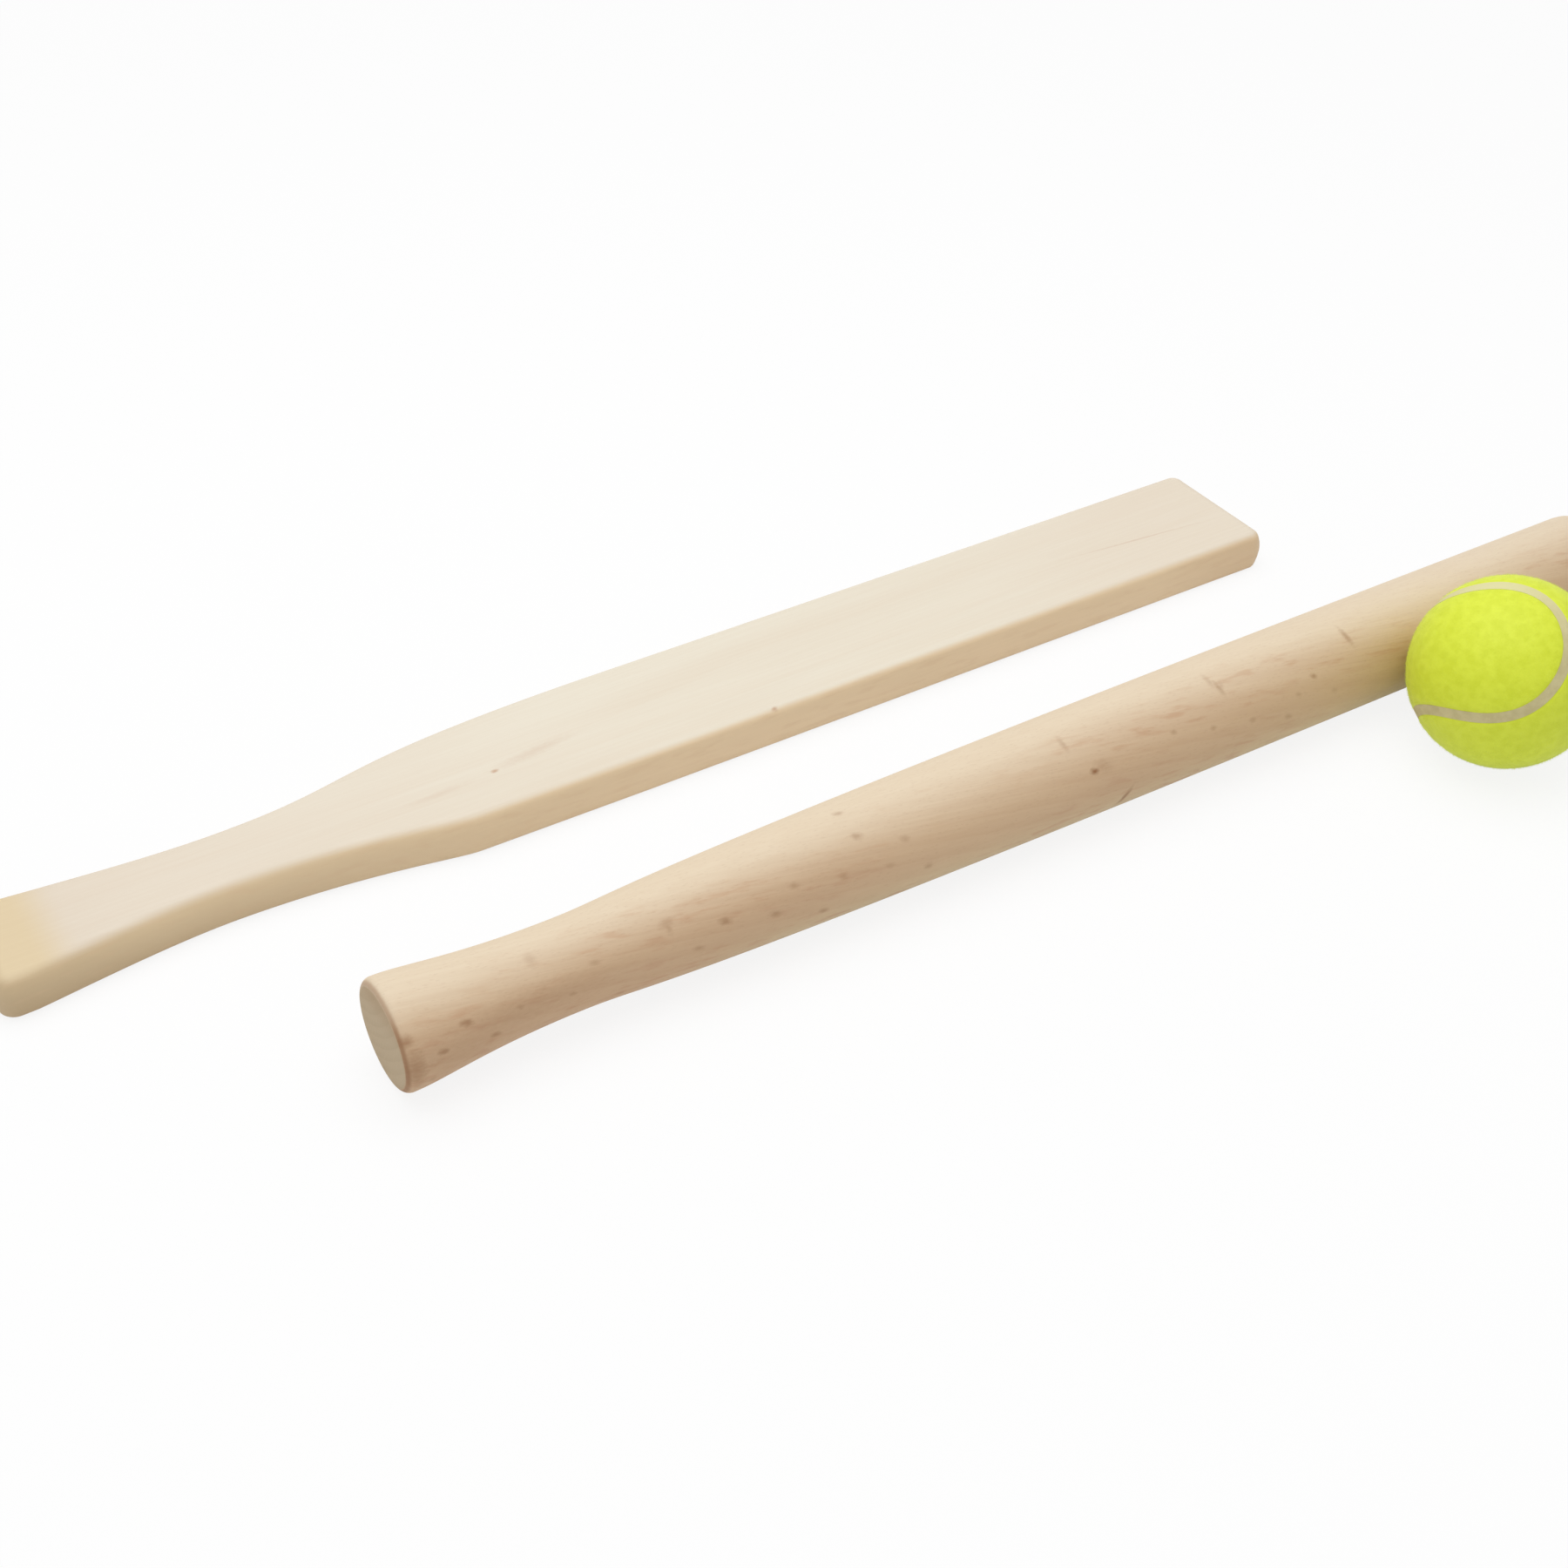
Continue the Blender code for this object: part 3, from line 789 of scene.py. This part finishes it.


# %% [markdown]
# ## Pale wood
# The flat bat is a pale, close wood with hardly any figure: cream on the broad faces, with faint pinkish
# lines, and warmer where the saw cut the edges. The handle is a little pinker and the butt a little yellow.
# The handle's sides are painted darker low down, towards the ground, as painted shade. Fades run along the
# bat, in metres from the butt.

# %% Pale wood material
HANDLE_FADE, BUTT_FADE, YELLOW_FADE = (0.03, 0.26), (0.0, 0.06), (0.015, 0.031)
SHADE_FADE, SHADE_HEIGHT = (0.03, 0.15), (0.001, 0.011)
TIP_FACE, TIP_SIDE = (0.34, 0.48), (0.44, 0.495)
pale_wood, tree, shader = new_material("pale_wood", Roughness=0.55)
object_place = node(tree, "TexCoord").outputs["Object"]
butt_corner = (-flat_low.x, -BLADE_MIDDLE, 0.0)
place = node(tree, "Mapping", {"Vector": object_place, "Location": butt_corner}).outputs[0]
parts = node(tree, "SeparateXYZ", {0: place}).outputs
along = parts["X"]
sawn_edge = read_values(tree, "sawn_edge")
end_grain = read_values(tree, "end_grain")
grain = use_group(
    tree, wood_grain, {"Vector": place, "Pith": (0.0, 0.035, -0.09), "Ring Gap": 0.0065, "Wander": 0.02}
)
on_handle = fall(tree, along, *HANDLE_FADE)
near_butt = fall(tree, along, *BUTT_FADE)
yellowed = fall(tree, along, *YELLOW_FADE)
# Darker low on the handle's sides, towards the ground: painted shade
low_painted_shade = times(tree, fall(tree, along, *SHADE_FADE), fall(tree, parts["Z"], *SHADE_HEIGHT))
face = mix_colour(tree, grain["Tone"], colour(235, 227, 209), colour(232, 222, 203))
face = tint(tree, face, grain["Rings"], 0.11, colour(226, 206, 182))
face = tint(tree, face, on_handle, 0.55, colour(227, 212, 194))
face = tint(tree, face, near_butt, 0.45, colour(221, 205, 185))
face = tint(tree, face, yellowed, 0.8, colour(224, 202, 159))
face = tint(tree, face, rise(tree, along, *TIP_FACE), 0.6, colour(231, 217, 198))
side = tint(tree, colour(243, 220, 184), on_handle, 0.85, colour(219, 195, 156))
side = tint(tree, side, near_butt, 0.6, colour(196, 171, 132))
side = tint(tree, side, low_painted_shade, 0.4, colour(190, 163, 122))
side = tint(tree, side, rise(tree, along, *TIP_SIDE), 0.5, colour(224, 196, 159))
side = tint(tree, side, grain["Figure"], 0.25, colour(224, 192, 154))
wood = mix_colour(tree, sawn_edge, face, side)
wood = tint(tree, wood, end_grain, 0.6, colour(214, 190, 152))
wood = tint(tree, wood, grain["Fibres"], 0.06, colour(206, 178, 146))
TOP = FLAT_THICKNESS
# Place, size and turn of each mark, and its strength
pale_marks = [
    ((0.176, -0.007, TOP), (0.0022, 0.0013, 0.004), 0.0, 0.8),
    ((0.192, -0.004, TOP), (0.022, 0.0035, 0.006), -0.12, 0.22),
    ((0.155, -0.0085, TOP), (0.018, 0.0025, 0.006), -0.05, 0.15),
    ((0.2756, -0.0255, TOP - 0.001), (0.0018, 0.0014, 0.002), 0.0, 0.8),
    ((0.4545, -0.0048, TOP), (0.040, 0.0007, 0.006), 0.10, 0.30),
]
wood = mix_colour(tree, draw_marks(tree, place, pale_marks), wood, colour(193, 148, 112))
tree.links.new(wood, shader["Base Color"])
tree.links.new(maths(tree, "ADD", times(tree, grain["Fibres"], 0.12), 0.5), shader["Roughness"])
tree.links.new(bump(tree, grain["Fibres"], 0.02 * MM), shader["Normal"])
print("pale_wood:", len(tree.nodes), "nodes")

# %% [markdown]
# ## Beech
# The round bat is beech: pinkish tan, with short soft strokes of figure. Along its upper side it is painted a
# paler cream, a painted highlight where the light from above falls and the wood's sheen shows, and the
# strokes fade out there. The blank was sawn a little askew, so the grain runs out across the bat at a slight
# angle. The butt shows greyer end grain, stained brown at its rim. Along the lower front the wood is painted
# paler, as painted bounce light from the floor. Turns round the bat are counted in degrees from the top
# towards the ball.
# They jump from 180 to -180 underneath, so what rises with them fades out before that.

# %% Beech material
GRAIN_TILT = math.radians(6)
TOP_HIGHLIGHT_MIDDLE, TOP_HIGHLIGHT_CORE, TOP_HIGHLIGHT_REACH = math.radians(-25), math.radians(26), math.radians(100)
TONE_WANDER, FIGURE_WANDER = 0.15, 0.1
BOUNCE_START, RIM_FADE = (0.07, 0.14), (0.02, 0.05)
END_FACE, END_RIM, BROWN_TOP = (0.80, 0.97), (0.15, 0.6), (0.004, 0.016)
FLECK_STRETCH, FLECK_FADE = (330, 1300, 1300), (0.12, 0.34)
beech, tree, shader = new_material("beech", Roughness=0.6, Specular_IOR_Level=0.3)
object_place = node(tree, "TexCoord").outputs["Object"]
place = node(tree, "Mapping", {"Vector": object_place, "Location": tuple(-round_butt)}).outputs[0]
parts = node(tree, "SeparateXYZ", {0: place}).outputs
turn_round = maths(tree, "ARCTAN2", times(tree, parts["Y"], -1.0), parts["Z"])
end_grain = read_values(tree, "end_grain")


def rise_round(low, high, top=1.0):
    return rise(tree, turn_round, math.radians(low), math.radians(high), top)


tilted = node(tree, "Mapping", {"Vector": place, "Rotation": (0.0, -GRAIN_TILT, GRAIN_TILT)}).outputs[0]
grain = use_group(
    tree, wood_grain, {"Vector": tilted, "Pith": (0.0, 0.03, 0.045), "Ring Gap": 0.0042, "Wander": 0.012}
)
# A paler cream strip along the upper side: a painted highlight where the light from above falls
from_top_highlight = maths(tree, "ABSOLUTE", maths(tree, "SUBTRACT", turn_round, TOP_HIGHLIGHT_MIDDLE))
from_top_highlight = maths(tree, "ADD", from_top_highlight, times(tree, grain["Tone"], TONE_WANDER))
from_top_highlight = maths(tree, "ADD", from_top_highlight, times(tree, grain["Figure"], FIGURE_WANDER))
off_top_highlight = rise(tree, from_top_highlight, TOP_HIGHLIGHT_CORE, TOP_HIGHLIGHT_REACH)
wood = mix_colour(tree, grain["Tone"], colour(220, 189, 153), colour(213, 180, 145))
wood = tint(tree, wood, grain["Rings"], 0.10, colour(190, 146, 110))
wood = mix_colour(tree, off_top_highlight, colour(232, 214, 187), wood)
before_jump = rest_of(tree, rise_round(140, 178))
# Paler along the lower front: painted bounce light from the floor
painted_bounce = times(tree, rise_round(80, 130, 0.66), before_jump)
painted_bounce = times(tree, painted_bounce, rise(tree, parts["X"], *BOUNCE_START))
wood = mix_colour(tree, painted_bounce, wood, colour(224, 207, 168))
patchy = times(tree, off_top_highlight, rise(tree, grain["Tone"], 0.1, 0.8, 0.6))
stroke = times(tree, grain["Figure"], patchy)
wood = mix_colour(tree, stroke, wood, colour(203, 160, 127))
wood = tint(tree, wood, grain["Fibres"], 0.06, colour(190, 152, 118))
fleck_place = vector_maths(tree, "MULTIPLY", tilted, FLECK_STRETCH)
fleck = node(tree, "TexVoronoi", {"Vector": fleck_place, "Scale": 1.0}).outputs["Distance"]
fleck = fall(tree, fleck, *FLECK_FADE)
wood = tint(tree, wood, fleck, 0.10, colour(166, 124, 92))
end_face = rise(tree, end_grain, *END_FACE)
end_rim = times(tree, rise(tree, end_grain, *END_RIM), rest_of(tree, end_face))
worn = maths(tree, "MAXIMUM", rise_round(-80, -40, 0.55), rise_round(5, 50, 0.85))
worn = times(tree, worn, before_jump)
worn = times(tree, worn, fall(tree, parts["X"], *RIM_FADE))
wood = mix_colour(tree, times(tree, end_rim, worn), wood, colour(168, 128, 94))
end_wood = tint(tree, colour(203, 183, 153), grain["Rings"], 0.25, colour(186, 166, 134))
end_wood = tint(tree, end_wood, rise(tree, parts["Z"], *BROWN_TOP), 0.5, colour(186, 157, 124))
wood = mix_colour(tree, end_face, wood, end_wood)
print("beech:", len(tree.nodes), "nodes without its marks")

# %% [markdown]
# ## Marks on the beech
# Pin knots run along the bat in a loose row, two of them dark, and the tool has scored it across in a few
# places. Each is placed on the unrolled skin of the bat: how far it lies from the butt, and how far round.

# %% Beech marks
# Millimetres from the butt, degrees round from the top towards the ball, length in millimetres, strength
PIN_KNOTS = (
    (12, 81, 3.4, 0.6), (21, 63, 3.8, 0.6), (29, 91, 3.4, 0.5), (38, 71, 3.2, 0.42), (55, 82, 3.0, 0.38),
    (64, 56, 3.2, 0.3), (71, 114, 2.8, 0.22), (97, 84, 2.8, 0.3), (107, 65, 3.4, 0.5), (124, 78, 3.3, 0.4),
    (132, 57, 3.0, 0.34), (141, 97, 2.8, 0.4), (149, 67, 2.8, 0.26), (157, 2, 3.0, 0.36), (166, 74, 2.7, 0.2),
    (173, 54, 3.0, 0.28), (180, 92, 2.8, 0.34), (281, 55, 2.2, 0.34), (297, 66, 2.2, 0.32),
    (314, 74, 2.6, 0.3), (330, 86, 2.8, 0.3), (335, 67, 2.2, 0.25), (343, 55, 2.3, 0.5), (351, 77, 2.4, 0.2),
)
DARK_KNOTS = ((158, 34, 3.2, 0.4), (247, 62, 2.8, 0.95), (251, 60, 6.0, 0.22))
# Millimetres from the butt, degrees round, length and width in millimetres, strength
# The fourth, a broad dark patch low on the bat near the butt, is painted shade; the others are stains
STAINS_AND_SHADE = (
    (2, 57, 3.5, 3.5, 0.5), (3, 90, 6.0, 13.0, 0.5), (8, 112, 3.0, 2.5, 0.3), (14, 92, 30.0, 12.0, 0.16),
    (42, 74, 45.0, 9.0, 0.2), (46, 24, 3.0, 5.0, 0.2), (89, 44, 4.0, 3.0, 0.3),
)
# Millimetres from the butt, degrees round, length in millimetres, strength, lean of the score in radians
SCORES = (
    (89, 49, 4.5, 0.3, 0.1), (240, 25, 5.0, 0.28, 0.1), (260, 107, 6.5, 0.75, -0.5),
    (303, 20, 5.0, 0.26, 0.1), (305, 31, 5.0, 0.4, 0.2), (306, 29, 3.0, 0.2, -0.5),
    (363, 30, 6.0, 0.46, 0.15),
)
KNOT_SLIMNESS, KNOT_TURN, SCORE_WIDTH = 0.6, -0.3, 1.7


def on_bat(along_mm, degrees):
    return (along_mm * MM, math.radians(degrees) * BARREL_RADIUS, 0.0)


skin_across = times(tree, turn_round, BARREL_RADIUS)
skin_place = node(tree, "CombineXYZ", {"X": parts["X"], "Y": skin_across}).outputs[0]
beech_marks = []
for along, degrees, length, strength in PIN_KNOTS + DARK_KNOTS:
    size = (length * MM, length * KNOT_SLIMNESS * MM, 1.0)
    beech_marks.append((on_bat(along, degrees), size, KNOT_TURN, strength))
for along, degrees, length, width, strength in STAINS_AND_SHADE:
    beech_marks.append((on_bat(along, degrees), (length * MM, width * MM, 1.0), 0.0, strength))
for along, degrees, length, strength, lean in SCORES:
    size = (SCORE_WIDTH * MM, length * MM, 1.0)
    beech_marks.append((on_bat(along, degrees), size, lean, strength))
on_skin = rest_of(tree, end_face)
marked = times(tree, draw_marks(tree, skin_place, beech_marks), on_skin)
wood = mix_colour(tree, marked, wood, colour(152, 104, 66))
matt = maths(tree, "ADD", times(tree, grain["Fibres"], 0.12), 0.55)
matt = maths(tree, "ADD", matt, times(tree, end_face, 0.3))
tree.links.new(wood, shader["Base Color"])
tree.links.new(matt, shader["Roughness"])
tree.links.new(bump(tree, grain["Fibres"], 0.03 * MM), shader["Normal"])
print("beech marks:", len(beech_marks))

# %% [markdown]
# ## Felt
# Felt is matt and takes light deep between its fibres. The nap's colour drifts from clump to clump, and a
# slight sheen brightens it where the fibres are seen from the side. The fuzz is a little paler.

# %% Felt group and materials
CLUMP_STRETCH, STRAND_STRETCH = (300, 300, 300), (2600, 2600, 2600)
STRAND_SHARE, NAP_BUMP = 0.3, 0.08 * MM
felt_nap, given, made = new_group("felt_nap", {"Vector": "Vector"}, ("Clumps", "Fibres"))
clumps = stretched_noise(felt_nap, given["Vector"], CLUMP_STRETCH, 2.0)
strands = stretched_noise(felt_nap, given["Vector"], STRAND_STRETCH, 3.0)
felt_nap.links.new(rise(felt_nap, clumps, 0.3, 0.7), made["Clumps"])
felt_nap.links.new(rise(felt_nap, strands, 0.3, 0.7), made["Fibres"])


def felt_material(name, light, deep):
    material, tree, shader = new_material(name, Roughness=0.6, Specular_IOR_Level=0.6, Sheen_Weight=0.05)
    object_place = node(tree, "TexCoord").outputs["Object"]
    nap = use_group(tree, felt_nap, {"Vector": object_place})
    inputs = {0: STRAND_SHARE, 2: nap["Clumps"], 3: nap["Fibres"]}
    share = node(tree, "Mix", inputs, data_type="FLOAT").outputs[0]
    tree.links.new(mix_colour(tree, share, deep, light), shader["Base Color"])
    tree.links.new(bump(tree, share, NAP_BUMP), shader["Normal"])
    return material


felt = felt_material("felt", colour(229, 242, 58), colour(217, 230, 36))
fuzz_felt = felt_material("felt_fuzz", colour(236, 247, 96), colour(225, 238, 70))
print("felt materials:", felt.name, fuzz_felt.name)

# %% [markdown]
# ## Seam cement and core rubber
# The seam is matt rubber cement, a little dusty and uneven, and painted paler on top of the ball, a painted
# highlight where the light falls. The core's two cups are out of sight inside the felt, and they still get
# their own moulded rubber, because they show when the ball is taken apart.

# %% Cement and rubber materials
RUBBER_STRETCH, RUBBER_BUMP = (260, 260, 260), 0.12 * MM
CEMENT_HIGHLIGHT = colour(226, 221, 165)


def rubber_material(name, light, dark, roughness, painted_highlight=None):
    material, tree, shader = new_material(name, Roughness=roughness)
    object_place = node(tree, "TexCoord").outputs["Object"]
    cloud = stretched_noise(tree, object_place, RUBBER_STRETCH, 4.0, 0.6)
    rubber = mix_colour(tree, rise(tree, cloud, 0.3, 0.7), dark, light)
    # Paler cement where the seam lies on top: a painted highlight
    if painted_highlight:
        highlight_part = read_values(tree, "painted_highlight")
        rubber = mix_colour(tree, highlight_part, rubber, painted_highlight)
    tree.links.new(rubber, shader["Base Color"])
    tree.links.new(bump(tree, cloud, RUBBER_BUMP), shader["Normal"])
    return material


cement = rubber_material("seam_cement", colour(216, 204, 154), colour(200, 187, 136), 0.8, CEMENT_HIGHLIGHT)
rubber = rubber_material("core_rubber", colour(66, 64, 62), colour(48, 47, 46), 0.75)
print("rubbers:", cement.name, rubber.name)

# %% [markdown]
# ## Dress the set
# Each new piece gets its material, rides on the body that carries it, and stands for the solid it was made
# from.


def dress(piece, material, body, solid=None):
    piece.data.materials.clear()
    piece.data.materials.append(material)
    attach(piece, body)
    if solid:
        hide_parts(solid)


dress(flat_bat, pale_wood, "flat_bat", "flat_bat")
dress(round_bat, beech, "round_bat", "round_bat")
dress(seam, cement, "ball", "ball_seam")
for panel, fuzz, solid in zip(felt_panels, felt_fuzz, ("felt_panel_front", "felt_panel_back")):
    dress(panel, felt, "ball", solid)
    dress(fuzz, fuzz_felt, "ball", None)
for half in ("core_half_top", "core_half_bottom"):
    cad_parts[half].data.materials.clear()
    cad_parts[half].data.materials.append(rubber)

# %% [markdown]
# ## Floor
# The set lies on a plain white floor. To the camera, and in mirrors and glass, the floor is nearly white
# paper. Round the set a share of its real shading is left so that the shadows stay, and further off it fades
# into the white backdrop. All other rays meet a pale diffuse surface.

# %% Floor
PAPER_GLOW = 0.86
FADE_START, FADE_END = 0.5, 2.0
FLOOR_SIZE, FLOOR_DROP = 12, 0.2 * MM
WHITE, PALE, SHADED = ((level, level, level, 1.0) for level in (1.0, 0.86, 0.95))


def direct_rays(tree):
    """1 for rays from the camera, a mirror or glass, which see the backdrop as white."""
    ray = node(tree, "LightPath").outputs
    seen = maths(tree, "MAXIMUM", ray["Is Camera Ray"], ray["Is Glossy Ray"])
    return maths(tree, "MAXIMUM", seen, ray["Is Transmission Ray"])


bpy.ops.mesh.primitive_plane_add(size=FLOOR_SIZE, location=(0, 0, -FLOOR_DROP))
floor = bpy.context.object
floor.name = "floor"
paper = bpy.data.materials.new("floor_paper")
paper.use_nodes = True
tree = paper.node_tree
tree.nodes.clear()
direct = direct_rays(tree)
pale = node(tree, "BsdfDiffuse", {"Color": PALE}).outputs[0]
shaded = node(tree, "BsdfDiffuse", {"Color": SHADED}).outputs[0]
white = node(tree, "Emission", {"Color": WHITE, "Strength": 1.0}).outputs[0]
floor_place = node(tree, "TexCoord").outputs["Object"]
far_off = node(tree, "VectorMath", {0: floor_place}, operation="LENGTH").outputs["Value"]
glow = maths(tree, "ADD", rise(tree, far_off, FADE_START, FADE_END, 1 - PAPER_GLOW), PAPER_GLOW)
seen = node(tree, "MixShader", {0: glow, 1: shaded, 2: white}).outputs[0]
node(tree, "OutputMaterial", {"Surface": node(tree, "MixShader", {0: direct, 1: pale, 2: seen}).outputs[0]})
floor.data.materials.append(paper)
print("floor laid")

# %% [markdown]
# ## Light
# A large soft box hangs over the set, as in a packshot, and a dim white room fills the rest. Direct rays see
# the room as white, so that the horizon joins the floor.

# %% Light
ROOM_LIGHT, KEY_POWER, KEY_SIZE = 0.46, 13.2, 1.5
KEY_PLACE = Vector((-0.1, 0.15, 1.3))
world = bpy.data.worlds.new("room")
bpy.context.scene.world = world
world.use_nodes = True
tree = world.node_tree
tree.nodes.clear()
direct = direct_rays(tree)
room = node(tree, "Background", {"Color": WHITE, "Strength": ROOM_LIGHT}).outputs[0]
backdrop = node(tree, "Background", {"Color": WHITE, "Strength": 1.0}).outputs[0]
node(tree, "OutputWorld", {"Surface": node(tree, "MixShader", {0: direct, 1: room, 2: backdrop}).outputs[0]})

key = bpy.data.lights.new("soft box", "AREA")
key.shape = "SQUARE"
key.size = KEY_SIZE
key.energy = KEY_POWER
soft_box = bpy.data.objects.new("soft_box", key)
bpy.context.scene.collection.objects.link(soft_box)
soft_box.location = KEY_PLACE
soft_box.rotation_euler = (-KEY_PLACE).to_track_quat("-Z", "Y").to_euler()
bpy.context.scene.view_settings.view_transform = "Standard"
print("soft box at", KEY_PLACE[:])

# %% [markdown]
# ## Camera
# The photograph looks down at the set from the near left. The camera stands at the place that makes the
# outlines of both bats and the ball agree with it, with the same field of view.

# %% Camera
CAMERA_PLACE = Vector((-0.3507, -0.4844, 0.4771))
CAMERA_TARGET = Vector((-0.0292, 0.0362, 0.0))
SENSOR_WIDTH, FOCAL_LENGTH = 36, 51.3
camera = bpy.data.objects.new("camera", bpy.data.cameras.new("camera"))
bpy.context.scene.collection.objects.link(camera)
camera.location = CAMERA_PLACE
camera.rotation_euler = (CAMERA_TARGET - CAMERA_PLACE).to_track_quat("-Z", "Y").to_euler()
camera.data.sensor_width = SENSOR_WIDTH
camera.data.lens = FOCAL_LENGTH
bpy.context.scene.camera = camera
print("camera", (CAMERA_TARGET - CAMERA_PLACE).length, "m away")
